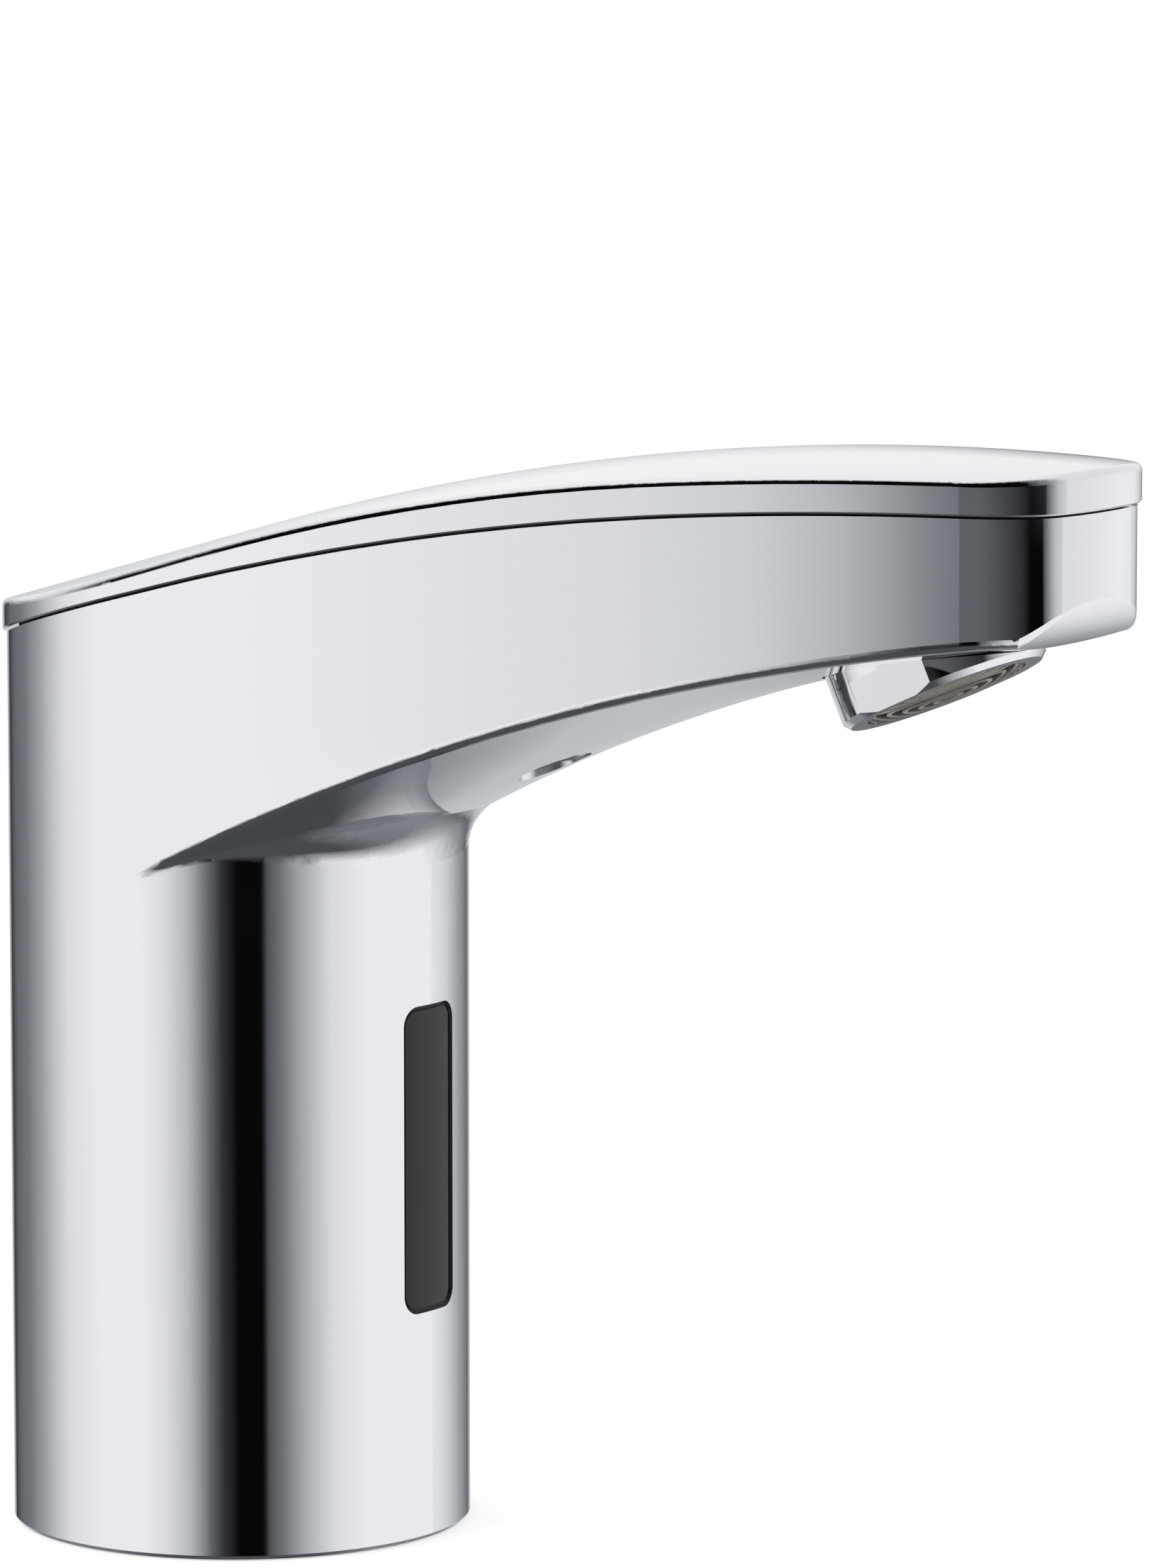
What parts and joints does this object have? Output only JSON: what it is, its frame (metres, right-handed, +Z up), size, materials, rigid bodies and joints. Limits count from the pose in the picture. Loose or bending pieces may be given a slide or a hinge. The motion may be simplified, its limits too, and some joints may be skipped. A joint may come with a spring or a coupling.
{
  "type": "sensor tap",
  "caption": "Touch-free basin tap: a round column with a dark sensor window, a rising flat-topped spout with a screwed-on cover, and a tilted aerator under its tip.",
  "frame": {"origin": "centre of the tap's foot, on the deck it stands on, at the mouth of the stud hole", "axes": "+X forward along the spout, +Z up the column, +Y to the left as seen from behind the tap; the XZ plane is the plane of symmetry of the outside"},
  "size_m": [0.1426, 0.055, 0.1301],
  "materials": {
    "chrome": "polished chrome plate on brass",
    "black_glass": "smooth dark tinted cover, infrared passes",
    "black_rubber": "matte black rubber",
    "clear_rubber": "matte dark silicone",
    "black_plastic": "moulded, fine matte",
    "white_plastic": "moulded, fine matte",
    "brown_plastic": "moulded, satin dark grey-brown",
    "green_board": "lacquered circuit board",
    "chip_black": "moulded package",
    "clear_lens": "smooth clear tinted lens",
    "steel": "bright stainless steel",
    "zinc_steel": "zinc plated steel",
    "brass": "machined brass",
    "copper": "lacquered copper wire",
    "magnet": "dark ferrite",
    "hose": "smooth grey hose",
    "battery_wrap": "printed wrap without text"
  },
  "bodies": {
    "fixed_body": {"base_seal": "black_rubber", "battery": "battery_wrap", "battery_contacts": "brass", "battery_holder": "black_plastic", "block_screws": "steel", "body": "chrome", "bonnet_screws": "steel", "circuit_board": "green_board", "coil_bobbin": "white_plastic", "coil_winding": "copper", "coil_yoke": "zinc_steel", "control_chip": "chip_black", "core_tube": "steel", "cover_seal": "black_rubber", "diaphragm": "clear_rubber", "holder_screws": "steel", "infrared_emitter": "clear_lens", "infrared_receiver": "clear_lens", "inlet_strainer": "steel", "latch_magnet": "magnet", "outlet_holder": "brass", "plunger_spring": "steel", "pole_piece": "steel", "sensor_housing": "black_plastic", "sensor_screw": "steel", "sensor_window": "black_glass", "tube_clip": "steel", "valve_block": "brass", "valve_bonnet": "black_plastic", "water_hose": "hose", "window_gasket": "black_rubber"},
    "cover": {"top_cover": "chrome"},
    "cover_fastener": {"cover_screw": "steel"},
    "aerator_cartridge": {"aerator_insert": "brown_plastic", "aerator_strainer": "steel", "aerator_seal": "black_rubber"},
    "aerator_shell": {"aerator_housing": "chrome"},
    "plunger_body": {"plunger": "steel", "plunger_tip": "black_rubber"},
    "diaphragm_body": {"diaphragm_plate": "white_plastic"}
  },
  "joints": [
    {"name": "cover_lift", "type": "slide", "parent": "fixed_body", "child": "cover", "axis": [0, 0, 1], "range_m": [0, 0.045]},
    {"name": "cover_screw_turn", "type": "hinge", "parent": "fixed_body", "child": "cover_fastener", "pos_m": [0.044, 0, 0.0952], "axis": [0, 0, 1], "range_deg": [-1440, 1440]},
    {"name": "aerator_unscrew", "type": "slide", "parent": "fixed_body", "child": "aerator_cartridge", "axis": [0.4099, 0, -0.9121], "range_m": [0, 0.005]},
    {"name": "aerator_turn", "type": "hinge", "parent": "aerator_cartridge", "child": "aerator_shell", "pos_m": [0.0954, 0, 0.1032], "axis": [0.4099, 0, -0.9121], "range_deg": [0, 1800]},
    {"name": "plunger_slide", "type": "slide", "parent": "fixed_body", "child": "plunger_body", "axis": [0, 0, 1], "range_m": [0, 0.0015], "stiffness_N_per_m": 150, "springref_m": -0.004, "deforming": ["plunger_spring"]},
    {"name": "diaphragm_lift", "type": "slide", "parent": "fixed_body", "child": "diaphragm_body", "axis": [0, 0, 1], "range_m": [0, 0.0012], "deforming": ["diaphragm"]}
  ],
  "couplings": [
    {"joint": "aerator_unscrew", "follows": "aerator_turn", "m_per_rad": 0.000159},
    {"joint": "diaphragm_lift", "follows": "plunger_slide", "ratio": 0.8}
  ]
}
